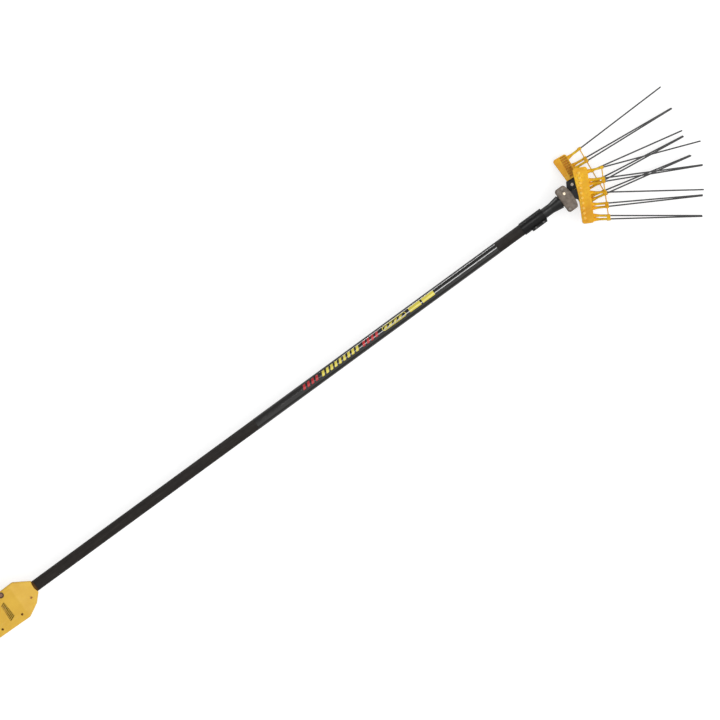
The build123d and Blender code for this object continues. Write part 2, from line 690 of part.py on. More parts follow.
def motor_coupling():
    """The clamp coupling between the motor and the drive shaft, with its slit rings."""
    x0 = COUPLING_X - COUPLING_LENGTH / 2
    x1 = COUPLING_X + COUPLING_LENGTH / 2
    sleeve = tube_x(COUPLING_DIAMETER, SHAFT_DIAMETER + 2 * SEAT_FIT, x0, x1)
    rims = sleeve.edges().filter_by(GeomType.CIRCLE).group_by(SortBy.RADIUS)[-1]
    sleeve = chamfer(rims, COUPLING_GROOVE)
    root = COUPLING_DIAMETER - 2 * COUPLING_GROOVE
    groove = tube_x(COUPLING_DIAMETER + 1, root, COUPLING_X - COUPLING_GROOVE, COUPLING_X + COUPLING_GROOVE)
    return sleeve - groove


def cooling_fan():
    """A radial fan on the motor's rear shaft end."""
    disc = cyl_x(FAN_DIAMETER, FAN_REAR_X, FAN_REAR_X + FAN_DISC)
    hub = cyl_x(FAN_HUB, FAN_REAR_X, FAN_FRONT_X)
    reach = (FAN_DIAMETER - FAN_HUB) / 2 + 1
    middle = AXIS_Z + FAN_HUB / 2 - 1 + reach / 2
    vane = Pos((FAN_REAR_X + FAN_FRONT_X) / 2, 0, middle) * Box(FAN_WIDTH, FAN_VANE, reach)
    axis = Axis((0, 0, AXIS_Z), (1, 0, 0))
    vanes = [vane.rotate(axis, i * 360 / FAN_VANES) for i in range(FAN_VANES)]
    fan = fused([disc, hub] + vanes) & cyl_x(FAN_DIAMETER, FAN_REAR_X, FAN_FRONT_X)
    return fan - cyl_x(SHAFT_DIAMETER + 2 * SEAT_FIT, FAN_REAR_X - 1, FAN_FRONT_X + 1)


def motor_screws():
    """Long screws through both end plates."""
    screws = []
    for y, z in motor_screw_places():
        shank = cyl_x(MOTOR_SCREW_DIAMETER, MOTOR_REAR_X, MOTOR_FRONT_X, y, z)
        head = cyl_x(SCREW_HEAD, MOTOR_FRONT_X, MOTOR_FRONT_X + SCREW_HEAD_HEIGHT, y, z)
        screws.append(shank + head)
    return group(screws)


# Control board
def control_board():
    """The circuit board behind the fan."""
    return board_blank()


def heat_sink():
    """A finned heat sink on the board's rear face."""
    x1 = BOARD_X - BOARD_THICKNESS / 2
    x0 = x1 - HEAT_SINK_DEPTH
    y1 = -BOARD_WIDTH / 2 + HEAT_SINK_WIDTH
    low = AXIS_Z - HEAT_SINK_HEIGHT / 2
    high = AXIS_Z + HEAT_SINK_HEIGHT / 2
    pieces = [block(x1 - HEAT_SINK_BASE, x1, -BOARD_WIDTH / 2, y1, low, high)]
    pitch = (HEAT_SINK_WIDTH - FIN_THICKNESS) / (HEAT_SINK_FINS - 1)
    for i in range(HEAT_SINK_FINS):
        y = -BOARD_WIDTH / 2 + i * pitch
        pieces.append(block(x0, x1, y, y + FIN_THICKNESS, low, high))
    return fused(pieces)


def board_capacitors():
    """A column of capacitors beside the heat sink."""
    x1 = BOARD_X - BOARD_THICKNESS / 2
    y = -BOARD_WIDTH / 2 + HEAT_SINK_WIDTH + CAPACITOR_DIAMETER
    places = [AXIS_Z + (i - (CAPACITOR_COUNT - 1) / 2) * CAPACITOR_PITCH for i in range(CAPACITOR_COUNT)]
    return group([cyl_x(CAPACITOR_DIAMETER, x1 - CAPACITOR_LENGTH, x1, y, z) for z in places])


# Pole
def pole_tube():
    """The long tube."""
    return tube_x(POLE_DIAMETER, POLE_BORE, POLE_REAR_X, POLE_FRONT_X)


def pole_sleeve():
    """The thin glossy film over the middle of the pole."""
    x0 = NOSE_X + SLEEVE_SETBACK
    inner = POLE_DIAMETER + 2 * SEAT_FIT
    return tube_x(POLE_DIAMETER + 2 * SLEEVE_WALL, inner, x0, x0 + SLEEVE_LENGTH)


def drive_shaft():
    """The long shaft inside the pole."""
    return cyl_x(SHAFT_DIAMETER, COUPLING_X + END_FLOAT / 2, POLE_FRONT_X - END_FLOAT / 2)


def shaft_bushes():
    """Spool-shaped bushes that keep the shaft in the middle of the pole."""
    outer = POLE_BORE / 2 - SEAT_FIT
    inner = SHAFT_DIAMETER / 2 + RUNNING_FIT
    span = SPIGOT_X - POLE_REAR_X
    bushes = []
    for i in range(BUSH_COUNT):
        x0 = POLE_REAR_X + span * i / BUSH_COUNT
        x1 = x0 + BUSH_LENGTH
        profile = [(x0, inner), (x0, outer), (x0 + BUSH_WEB, outer), (x0 + BUSH_WEB, BUSH_HUB / 2),
                   (x1 - BUSH_WEB, BUSH_HUB / 2), (x1 - BUSH_WEB, outer), (x1, outer), (x1, inner)]
        bushes.append(turned_x(profile))
    return group(bushes)


# Collar and adapter
def pole_collar():
    """The clamp collar on the pole's front end, with a split ear on one side."""
    x1 = POLE_FRONT_X + COLLAR_LIP
    x0 = x1 - COLLAR_LENGTH
    outer = POLE_DIAMETER + 2 * COLLAR_WALL
    collar = cyl_x(outer, x0, x1)
    collar = fillet(collar.edges().filter_by(GeomType.CIRCLE), COLLAR_WALL / 2)
    ear_x0 = x1 - COLLAR_EAR_LENGTH
    ear_y = -outer / 2 - COLLAR_EAR
    half = COLLAR_EAR_DEPTH / 2
    ear = block(ear_x0, x1 - COLLAR_WALL, ear_y, -POLE_DIAMETER / 2, AXIS_Z - half, AXIS_Z + half)
    ear = fillet(ear.edges().filter_by(Axis.Z), COLLAR_EAR / 2)
    collar = collar + ear
    collar = collar - cyl_x(POLE_DIAMETER + 2 * SEAT_FIT, x0 - 1, POLE_FRONT_X)
    collar = collar - cyl_x(SPIGOT_DIAMETER + 2 * SEAT_FIT, POLE_FRONT_X - 1, x1 + 1)
    slot = block(x0 - 1, x1 + 1, ear_y - 1, 0, AXIS_Z - COLLAR_SLOT / 2, AXIS_Z + COLLAR_SLOT / 2)
    collar = collar - slot
    for x in collar_screw_places():
        y = collar_screw_y()
        collar = collar - cyl_z(COLLAR_SCREW + 2 * SEAT_FIT, x, y, AXIS_Z - half - 1, AXIS_Z + half + 1)
    return collar


def collar_screw_places():
    """The clamp screws' places along the ear."""
    x1 = POLE_FRONT_X + COLLAR_LIP
    return [x1 - COLLAR_EAR_LENGTH * share for share in COLLAR_SCREW_SHARES]


def collar_screw_y():
    """The clamp screws' distance from the pole's centre line, clear of the pole."""
    return -POLE_DIAMETER / 2 - COLLAR_SCREW / 2 - 3 * SLIDE_GAP


def collar_screws():
    """The screws that close the collar's ear."""
    half = COLLAR_EAR_DEPTH / 2
    y = collar_screw_y()
    screws = []
    for x in collar_screw_places():
        shank = cyl_z(COLLAR_SCREW, x, y, AXIS_Z - half, AXIS_Z + half)
        head = cyl_z(COLLAR_SCREW_HEAD, x, y, AXIS_Z + half, AXIS_Z + half + SCREW_HEAD_HEIGHT)
        socket = hex_z(COLLAR_SCREW - 1, x, y, AXIS_Z + half + 1, AXIS_Z + half + SCREW_HEAD_HEIGHT + 1)
        screws.append(shank + head - socket)
    return group(screws)


def head_adapter():
    """The turned neck between the pole and the gearbox, hollow for the shaft line."""
    spigot = SPIGOT_DIAMETER / 2
    nose = ADAPTER_NOSE / 2 - SEAT_FIT
    seat = BEARING_OUTER / 2 + SEAT_FIT
    bore = ADAPTER_BORE / 2
    nose_x = HEAD_X + GEARBOX_BACK
    profile = [
        (SPIGOT_X, seat), (SPIGOT_X, spigot), (FLARE_X, spigot),
        (GROOVE_X - GROOVE_WIDTH, FLARE_DIAMETER / 2), (GROOVE_X, FLARE_DIAMETER / 2),
        (GROOVE_X, GROOVE_DIAMETER / 2), (HEAD_X, GROOVE_DIAMETER / 2),
        (HEAD_X, nose), (nose_x, nose), (nose_x, seat), (nose_x - BEARING_WIDTH, seat),
        (nose_x - BEARING_WIDTH, bore), (SPIGOT_X + BEARING_WIDTH, bore), (SPIGOT_X + BEARING_WIDTH, seat),
    ]
    return turned_x(profile)


def shaft_coupling():
    """The sleeve that joins the drive shaft to the crankshaft."""
    half = COUPLING_LENGTH / 2
    bore = SHAFT_DIAMETER + 2 * SEAT_FIT
    return tube_x(COUPLING_DIAMETER, bore, POLE_FRONT_X - half, POLE_FRONT_X + half)


# Crank
def crank_places():
    """The two eccentrics: distance behind the pivot, sideways throw."""
    return [(PIVOT_X - FRONT_CRANK_REACH, FRONT_THROW), (PIVOT_X - REAR_CRANK_REACH, -REAR_THROW)]


def crankshaft():
    """The journal and its two opposed eccentrics."""
    (front_x, front_y), (rear_x, rear_y) = crank_places()
    half = RING_WIDTH / 2
    journal = cyl_x(SHAFT_DIAMETER, POLE_FRONT_X + END_FLOAT / 2, front_x - half)
    first = cyl_x(ECCENTRIC_DIAMETER, front_x - half, (front_x + rear_x) / 2, front_y)
    second = cyl_x(ECCENTRIC_DIAMETER, (front_x + rear_x) / 2, rear_x + half, rear_y)
    return fused([journal, first, second])


def eccentric_rings():
    """A bearing ring on each eccentric."""
    rings = []
    for x, y in crank_places():
        inner = ECCENTRIC_DIAMETER + 2 * SEAT_FIT
        rings.append(tube_x(RING_DIAMETER, inner, x - RING_WIDTH / 2, x + RING_WIDTH / 2, y))
    return group(rings)


# Gearbox
def gearbox_outline():
    """The gearbox from above: square back, crowned front."""
    half = GEARBOX_WIDTH / 2
    left = GEARBOX_SHIFT + half
    right = GEARBOX_SHIFT - half
    side_x = HEAD_X + GEARBOX_SIDE
    back = Polyline((side_x, left), (HEAD_X, left), (HEAD_X, right), (side_x, right))
    crown = ThreePointArc((side_x, right), (side_x + GEARBOX_CROWN, GEARBOX_SHIFT), (side_x, left))
    face = make_face([back, crown])
    return fillet(face.vertices(), GEARBOX_CORNER)


def cover_screw_places():
    """The cover's four screws."""
    reach = GEARBOX_WIDTH / 2 - COVER_SCREW_INSET
    xs = (HEAD_X + COVER_SCREW_INSET, HEAD_X + GEARBOX_SIDE - COVER_SCREW_INSET)
    return [(x, GEARBOX_SHIFT + side * reach) for x in xs for side in (1, -1)]


def gearbox_body():
    """The cast box, open at the top and at the front."""
    body = extrude(Plane(origin=(0, 0, GEARBOX_LOW)) * gearbox_outline(), amount=COVER_LOW - GEARBOX_LOW)
    body = fillet(body.faces().sort_by(Axis.Z)[0].edges(), GEARBOX_EDGE)
    half = CAVITY_WIDTH / 2
    cavity = block(HEAD_X + GEARBOX_BACK, HEAD_X + GEARBOX_SIDE + 2 * GEARBOX_CROWN, -half, half,
                   AXIS_Z - CAVITY_HALF, COVER_LOW + 1)
    body = body - cavity
    body = body - cyl_x(ADAPTER_NOSE, HEAD_X - 1, HEAD_X + GEARBOX_BACK + 1)
    body = body - pivot_hole()
    hole_low = COVER_HIGH - COVER_SCREW_LENGTH - END_FLOAT
    for x, y in cover_screw_places():
        body = body - cyl_z(COVER_SCREW + 2 * SEAT_FIT, x, y, hole_low, COVER_HIGH)
    return body


def pivot_hole():
    """The blind seats of the pivot pin in the floor and the cover."""
    low = AXIS_Z - CAVITY_HALF - PIN_BLIND
    return cyl_z(PIN_DIAMETER + 2 * SEAT_FIT, PIVOT_X, 0, low, COVER_LOW + PIN_BLIND)


def gearbox_cover():
    """The flat lid with rounded top edge."""
    cover = extrude(Plane(origin=(0, 0, COVER_LOW)) * gearbox_outline(), amount=COVER_THICKNESS)
    cover = fillet(cover.faces().sort_by(Axis.Z)[-1].edges(), GEARBOX_EDGE)
    cover = cover - pivot_hole()
    for x, y in cover_screw_places():
        cover = cover - cyl_z(COVER_SCREW + 2 * SEAT_FIT, x, y, COVER_LOW - 1, COVER_HIGH + 1)
        seat = COVER_HIGH - COVER_SCREW_HEAD_HEIGHT
        cover = cover - cyl_z(COVER_SCREW_HEAD + 2 * SLIDE_GAP, x, y, seat, COVER_HIGH + 1)
    plug_x = HEAD_X + PLUG_X
    return cover - cyl_z(PLUG_DIAMETER + 2 * SEAT_FIT, plug_x, PLUG_Y, COVER_LOW - 1, COVER_HIGH + 1)


def gearbox_screws():
    """The cover's socket screws, sunk flush."""
    screws = []
    seat = COVER_HIGH - COVER_SCREW_HEAD_HEIGHT
    for x, y in cover_screw_places():
        shank = cyl_z(COVER_SCREW, x, y, COVER_HIGH - COVER_SCREW_LENGTH, seat)
        head = cyl_z(COVER_SCREW_HEAD, x, y, seat, COVER_HIGH)
        head = chamfer(head.faces().sort_by(Axis.Z)[-1].edges(), SLIDE_GAP)
        socket = hex_z(COVER_SCREW, x, y, seat + 1, COVER_HIGH + 1)
        screws.append(shank + head - socket)
    return group(screws)


def grease_plug():
    """The grease plug in the cover."""
    x = HEAD_X + PLUG_X
    plug = cyl_z(PLUG_DIAMETER, x, PLUG_Y, COVER_LOW, COVER_HIGH)
    head = cyl_z(PLUG_HEAD, x, PLUG_Y, COVER_HIGH, COVER_HIGH + PLUG_HEAD_HEIGHT)
    head = fillet(head.faces().sort_by(Axis.Z)[-1].edges(), PLUG_HEAD_HEIGHT / 3)
    return plug + head - hex_z(PLUG_SOCKET, x, PLUG_Y, COVER_HIGH + 1, COVER_HIGH + PLUG_HEAD_HEIGHT + 1)


def pivot_pin():
    """The pin that both levers swing on."""
    low = AXIS_Z - CAVITY_HALF - PIN_BLIND
    return cyl_z(PIN_DIAMETER, PIVOT_X, 0, low, COVER_LOW + PIN_BLIND)


# Levers and combs
class Side:
    """One of the two comb assemblies: which way it is stacked and how it rests."""

    def __init__(self, up, angle, crank_reach, throw, tongue_shift):
        self.up = up
        self.tongue_shift = tongue_shift
        self.middle = AXIS_Z + up * COMB_RISE
        self.lever_angle = -up * HALF_SWING
        self.angle = angle
        self.crank_reach = crank_reach
        self.throw = throw
        reach = Pos(COMB_REACH, -up * COMB_OFFSET, 0)
        self.centre = (Pos(PIVOT_X, 0, 0) * Rot(0, 0, self.lever_angle) * reach).position
        boss_ends = (AXIS_Z + up * END_FLOAT, AXIS_Z + up * (CAVITY_HALF - END_FLOAT))
        self.boss_low, self.boss_high = sorted(boss_ends)

    def flat_place(self):
        """The comb's own frame at floor height: bar along Y, tines along X."""
        return Pos(self.centre.X, self.centre.Y, 0) * Rot(0, 0, self.angle) * Pos(0, COMB_SLIDE, 0)

    def place(self):
        """The comb's own frame at the comb's height."""
        return Pos(0, 0, self.middle) * self.flat_place()

    def lever_place(self):
        """The lever's own frame at the pivot."""
        return Pos(PIVOT_X, 0, self.middle) * Rot(0, 0, self.lever_angle)


FRONT = Side(1, FRONT_COMB_ANGLE, FRONT_CRANK_REACH, FRONT_THROW, FRONT_TONGUE_SHIFT)
REAR = Side(-1, REAR_COMB_ANGLE, REAR_CRANK_REACH, REAR_THROW, REAR_TONGUE_SHIFT)


def tongue_sketch(side, grow=0.0):
    """The lever's tongue inside the comb, in the comb's frame."""
    x0 = -BAR_BACK - TONGUE_NECK
    x1 = TONGUE_END + grow
    return Pos((x0 + x1) / 2, side.tongue_shift, 0) * Rectangle(x1 - x0, TONGUE_WIDTH + 2 * grow)


def neck_sketch(side):
    """The root of the tongue, just behind the comb, in the comb's frame."""
    middle = -BAR_BACK - (TONGUE_NECK + SLIDE_GAP) / 2
    return Pos(middle, side.tongue_shift, 0) * Rectangle(TONGUE_NECK - SLIDE_GAP, TONGUE_WIDTH)


def lever(side):
    """A forked lever: prongs on its crank ring, boss on the pin, tongue in the comb."""
    half = LEVER_THICKNESS / 2
    boss = Pos(PIVOT_X, 0, 0) * Circle(PIVOT_BOSS_DIAMETER / 2)
    in_comb = side.flat_place()
    neck = in_comb * neck_sketch(side)
    outline = make_hull(boss.edges() + neck.edges()) + in_comb * tongue_sketch(side)
    arm = extrude(Pos(0, 0, side.middle - half) * outline, amount=LEVER_THICKNESS)
    clearance = FORK_CLEARANCE_SHARE * side.throw
    inner = RING_DIAMETER / 2 + clearance
    outer = inner + PRONG_WIDTH
    x0 = -side.crank_reach - PRONG_LENGTH / 2
    x1 = -side.crank_reach + PRONG_LENGTH / 2
    frame = side.lever_place()
    yoke = frame * block(x0, 0, -outer, outer, -half, half)
    reach = -side.up * (COMB_RISE + PRONG_REACH)
    prongs = []
    for hand in (1, -1):
        y0, y1 = sorted((hand * inner, hand * outer))
        z0, z1 = sorted((0, reach))
        prongs.append(frame * block(x0, x1, y0, y1, z0, z1))
    boss_bar = cyl_z(PIVOT_BOSS_DIAMETER, PIVOT_X, 0, side.boss_low, side.boss_high)
    whole = fused([arm, yoke, boss_bar] + prongs)
    bush_hole = PIVOT_BUSH_DIAMETER + 2 * SEAT_FIT
    whole = whole - cyl_z(bush_hole, PIVOT_X, 0, side.boss_low - 1, side.boss_high + 1)
    for x in BOLT_PLACES:
        hole = cyl_z(BOLT_DIAMETER + 2 * SEAT_FIT, x, side.tongue_shift, -half - 1, half + 1)
        whole = whole - side.place() * hole
    return whole


def pivot_bush(side):
    """The bronze bush pressed into a lever's boss."""
    bush = cyl_z(PIVOT_BUSH_DIAMETER, PIVOT_X, 0, side.boss_low, side.boss_high)
    return bush - cyl_z(PIN_DIAMETER + 2 * RUNNING_FIT, PIVOT_X, 0, side.boss_low - 1, side.boss_high + 1)


def stations(up):
    """Each tine's nozzle end, direction and free length, in the comb's frame."""
    lines = []
    count = len(STATION_FANS)
    for i, (fan, tines, reach) in enumerate(zip(STATION_FANS, STATION_TINES, STATION_REACH)):
        y = ((count - 1) / 2 - i) * STATION_PITCH
        hands = (0,) if tines == 1 else (1, -1)
        for hand in hands:
            turn = math.radians(fan - hand * PAIR_TOE_IN)
            rise = math.radians(up * hand * PAIR_SPLAY)
            flat = math.cos(rise)
            direction = Vector(math.cos(turn) * flat, math.sin(turn) * flat, math.sin(rise))
            end = Vector(TIP_X, y + hand * PAIR_PITCH / 2, up * hand * PAIR_RISE / 2)
            lines.append((end, direction, reach))
    return lines


def rod(start, direction, length, diameter):
    """A round rod from a point along a direction."""
    return extrude(Plane(origin=start, z_dir=direction) * Circle(diameter / 2), amount=length)


def nozzle(end, direction):
    """A nozzle: a tube that widens to a cone where it leaves the bar."""
    length = TIP_X - BAR_FRONT + BAR_WALL / 2
    start = end - direction * length
    sizes = (NOZZLE_ROOT_DIAMETER / 2, NOZZLE_DIAMETER / 2, NOZZLE_ROOT_LENGTH)
    cone = Cone(*sizes, align=(Align.CENTER, Align.CENTER, Align.MIN))
    return rod(start, direction, length, NOZZLE_DIAMETER) + Plane(origin=start, z_dir=direction) * cone


def tip_blocks(up):
    """The thick ends of the nozzles, one per station, tied by a thin rib."""
    x0 = TIP_X - TIP_BLOCK_LENGTH
    radius = TIP_BLOCK_DIAMETER / 2
    count = len(STATION_FANS)
    plane = Plane(origin=(x0, 0, 0), x_dir=(0, 1, 0), z_dir=(1, 0, 0))
    blocks = []
    for i, tines in enumerate(STATION_TINES):
        y = ((count - 1) / 2 - i) * STATION_PITCH
        if tines == 1:
            sketch = Pos(y, 0) * Circle(radius)
        else:
            high = Pos(y + PAIR_PITCH / 2, up * PAIR_RISE / 2) * Circle(radius)
            low = Pos(y - PAIR_PITCH / 2, -up * PAIR_RISE / 2) * Circle(radius)
            sketch = make_hull(high.edges() + low.edges())
        blocks.append(extrude(plane * sketch, amount=TIP_BLOCK_LENGTH))
    span = (count - 1) * STATION_PITCH
    rib_x = TIP_X - TIP_BLOCK_LENGTH / 2
    blocks.append(rod((rib_x, -span / 2, 0), (0, 1, 0), span, TIP_RIB_DIAMETER))
    return blocks


def bar_outline():
    """The bar from above: straight front, back edge flared towards the left end."""
    end = BAR_LENGTH / 2
    back = [(-BAR_BACK - BAR_FLARE, end), (-BAR_BACK, 0), (-BAR_BACK, -end)]
    face = make_face(Polyline((BAR_FRONT, end), *back, (BAR_FRONT, -end), close=True))
    outline = fillet(face.vertices().filter_by(lambda v: abs(v.Y) > 1), BAR_CORNER)
    return fillet(outline.vertices().filter_by(lambda v: abs(v.Y) < 1), BAR_BEND)


def knob_places():
    """The row of knobs along the bar's back edge."""
    middle = (KNOB_COUNT - 1) / 2
    return [(-KNOB_SETBACK, (i - middle) * KNOB_PITCH) for i in range(KNOB_COUNT)]


def comb_span(up, low, high):
    """A height range in the comb's frame, measured towards its outer face."""
    return sorted((up * low, up * high))


def bar_shell(side):
    """The comb's bar: a moulding open on its inner face between ribs, with knobs on its outer face."""
    up = side.up
    inner = -COMB_THICKNESS / 2
    low, high = comb_span(up, inner, BAR_OUTER)
    bar = extrude(Pos(0, 0, low) * bar_outline(), amount=high - low)
    outer_face = bar.faces().sort_by(Axis.Z)[-1 if up > 0 else 0]
    bar = fillet(outer_face.edges(), BAR_EDGE)
    room = offset(bar_outline(), -BAR_WALL) - Pos(-POCKET_SETBACK - FAR / 2, 0, 0) * Rectangle(FAR, FAR)
    rib_pitch = KNOB_PITCH / RIBS_PER_KNOB
    rib_count = KNOB_COUNT * RIBS_PER_KNOB
    for i in range(rib_count + 1):
        y = (i - rib_count / 2) * rib_pitch
        room = room - Pos(0, y, 0) * Rectangle(FAR, RIB_WIDTH)
    room = room - Pos(0, side.tongue_shift, 0) * Rectangle(FAR, TONGUE_WIDTH + 2 * BAR_WALL)
    low, high = comb_span(up, inner - 1, inner + POCKET_DEPTH)
    bar = bar - extrude(Pos(0, 0, low) * room, amount=high - low)
    for x, y in knob_places():
        low, high = comb_span(up, BAR_OUTER - 1, COMB_THICKNESS / 2)
        knob = cyl_z(KNOB_DIAMETER, x, y, low, high)
        crown = knob.faces().sort_by(Axis.Z)[-1 if up > 0 else 0]
        bar = bar + fillet(crown.edges(), KNOB_RISE - SLIDE_GAP)
    return bar


def comb(side):
    """The moulded comb with its nozzles, tips, tongue channel and holes."""
    up = side.up
    lines = stations(up)
    pieces = [bar_shell(side)] + [nozzle(end, direction) for end, direction, _ in lines]
    whole = fused(pieces + tip_blocks(up))
    for end, direction, _ in lines:
        start = end - direction * (TINE_GRIP + END_FLOAT)
        whole = whole - rod(start, direction, TINE_GRIP + TIP_BLOCK_LENGTH, TINE_DIAMETER + 2 * SEAT_FIT)
    half = LEVER_THICKNESS / 2
    low, high = comb_span(up, -COMB_THICKNESS / 2 - 1, half + SEAT_FIT)
    whole = whole - extrude(Pos(0, 0, low) * tongue_sketch(side, SEAT_FIT), amount=high - low)
    for x in BOLT_PLACES:
        low, high = comb_span(up, 0, half + BOLT_GRIP + END_FLOAT)
        whole = whole - cyl_z(BOLT_DIAMETER + 2 * SEAT_FIT, x, side.tongue_shift, low, high)
    return side.place() * whole


def comb_bolts(side):
    """The bolts that hold a comb on its tongue, from the comb's inner face."""
    half = LEVER_THICKNESS / 2
    bolts = []
    for x in BOLT_PLACES:
        low, high = comb_span(side.up, -half, half + BOLT_GRIP)
        shank = cyl_z(BOLT_DIAMETER, x, side.tongue_shift, low, high)
        low, high = comb_span(side.up, -half - BOLT_HEAD_HEIGHT, -half)
        head = cyl_z(BOLT_HEAD, x, side.tongue_shift, low, high)
        low, high = comb_span(side.up, -half - BOLT_HEAD_HEIGHT - 1, -half - BOLT_HEAD_HEIGHT / 2)
        socket = hex_z(HEX_SOCKET, x, side.tongue_shift, low, high)
        bolts.append(side.place() * (shank + head - socket))
    return group(bolts)


def tines(side):
    """The carbon tines in their nozzles, chamfered at the free end."""
    rods = []
    for end, direction, reach in stations(side.up):
        start = end - direction * TINE_GRIP
        tine = rod(start, direction, TINE_GRIP + reach, TINE_DIAMETER)
        tip = tine.faces().sort_by(Axis.X)[-1]
        tine = chamfer(tip.edges(), TINE_DIAMETER / 4)
        rods.append(side.place() * tine)
    return group(rods)


# Writes every node
os.makedirs("parts", exist_ok=True)
upper_shell, lower_shell = housing_shells()
save("upper_housing_shell", upper_shell)
save("lower_housing_shell", lower_shell)
save("housing_screws", housing_screws())
save("switch_bezel", switch_bezel())
save("switch_body", switch_body())
save("switch_button", switch_button())
save("cable_gland", cable_gland())
save("gland_nut", gland_nut())
save("gland_locknut", gland_locknut())
save("motor_can", motor_can())
front_bearing_x = MOTOR_FRONT_X - BEARING_WIDTH
save("motor_front_bell", end_bell(MOTOR_FRONT_X - BELL_THICKNESS, MOTOR_FRONT_X, front_bearing_x))
save("motor_rear_bell", end_bell(MOTOR_REAR_X, MOTOR_REAR_X + BELL_THICKNESS, MOTOR_REAR_X))
save("motor_bearings", group([bearing(front_bearing_x), bearing(MOTOR_REAR_X)]))
save("stator_core", stator_core())
save("stator_windings", stator_windings())
save("rotor_core", rotor_core())
save("rotor_magnets", rotor_magnets())
save("motor_shaft", motor_shaft())
save("motor_coupling", motor_coupling())
save("cooling_fan", cooling_fan())
save("motor_screws", motor_screws())
save("control_board", control_board())
save("heat_sink", heat_sink())
save("board_capacitors", board_capacitors())
save("pole_tube", pole_tube())
save("pole_sleeve", pole_sleeve())
save("drive_shaft", drive_shaft())
save("shaft_bushes", shaft_bushes())
save("pole_collar", pole_collar())
save("collar_screws", collar_screws())
save("head_adapter", head_adapter())
save("shaft_coupling", shaft_coupling())
save("crank_bearings", group([bearing(SPIGOT_X), bearing(HEAD_X + GEARBOX_BACK - BEARING_WIDTH)]))
save("crankshaft", crankshaft())
save("eccentric_rings", eccentric_rings())
save("gearbox_body", gearbox_body())
save("gearbox_cover", gearbox_cover())
save("gearbox_screws", gearbox_screws())
save("grease_plug", grease_plug())
save("pivot_pin", pivot_pin())
for name, comb_side in (("front", FRONT), ("rear", REAR)):
    save(f"{name}_lever", lever(comb_side))
    save(f"{name}_pivot_bush", pivot_bush(comb_side))
    save(f"{name}_comb", comb(comb_side))
    save(f"{name}_comb_bolts", comb_bolts(comb_side))
    save(f"{name}_tines", tines(comb_side))
print("pivot", PIVOT_X, "axis height", AXIS_Z, "button travel", BUTTON_TRAVEL)
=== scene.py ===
import bmesh
import bpy
import json
import math
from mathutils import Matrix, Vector


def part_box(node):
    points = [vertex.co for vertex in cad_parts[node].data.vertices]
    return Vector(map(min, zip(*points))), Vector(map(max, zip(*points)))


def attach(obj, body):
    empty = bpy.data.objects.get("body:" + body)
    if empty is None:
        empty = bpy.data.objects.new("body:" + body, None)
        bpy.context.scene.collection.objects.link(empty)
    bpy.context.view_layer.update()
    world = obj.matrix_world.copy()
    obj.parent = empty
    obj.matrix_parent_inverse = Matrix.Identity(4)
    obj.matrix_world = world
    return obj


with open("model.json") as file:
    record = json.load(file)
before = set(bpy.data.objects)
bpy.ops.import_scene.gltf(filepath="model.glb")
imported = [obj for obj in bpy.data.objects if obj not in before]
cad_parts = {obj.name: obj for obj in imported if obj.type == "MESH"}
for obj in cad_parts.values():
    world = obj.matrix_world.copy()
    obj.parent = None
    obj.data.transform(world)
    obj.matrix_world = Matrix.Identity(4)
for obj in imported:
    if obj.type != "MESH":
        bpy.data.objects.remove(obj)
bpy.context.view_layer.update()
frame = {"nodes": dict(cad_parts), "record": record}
scene = bpy.context.scene
scene.view_settings.view_transform = "Standard"

# Places on the object, in metres
AXIS_Z = 0.040
FILM_LOW, FILM_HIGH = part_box("pole_sleeve")
FILM_RADIUS = (FILM_HIGH.y - FILM_LOW.y) / 2
KNOB_HEIGHT = 0.0028
KNOB_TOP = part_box("front_comb")[1].z - AXIS_Z
KNOB_FOOT = KNOB_TOP - KNOB_HEIGHT
MOUTH_X = 0.1202
# How far the painted shade reaches along the pole from the housing's mouth.
MOUTH_SHADE_REACH = 0.0050

# Camera: straight above the tool from far off, the pole rising to the right
POLE_SLANT = math.radians(36.19)
VIEW_WIDTH = 2.16
VIEW_DISTANCE = 60.0
VIEW_CENTRE = (1.3086, -0.0287)
VIEW_FAR = 400.0
SENSOR = 36.0


def add_camera():
    """The photo's view: a long lens far above the tool."""
    data = bpy.data.cameras.new("camera")
    data.sensor_width = SENSOR
    data.lens = SENSOR * VIEW_DISTANCE / VIEW_WIDTH
    data.clip_end = VIEW_FAR
    camera = bpy.data.objects.new("camera", data)
    camera.location = (*VIEW_CENTRE, AXIS_Z + VIEW_DISTANCE)
    camera.rotation_euler = (0, 0, -POLE_SLANT)
    scene.collection.objects.link(camera)
    scene.camera = camera


# Materials
EDGE_SAMPLES = 4
HOLLOW_SAMPLES = 6
PEBBLE_SCALE = 0.6
PEBBLE_SHARE = 0.6
PIT_SHARE = 0.9
LINE_SHARE = 0.4
GLOW_SPREAD = (1.0, 0.8, 0.4)
GLOW_REACH = 0.008
MIX_SHARE = 0
MIX_COLOURS = (6, 7)
MIX_RESULT = 2


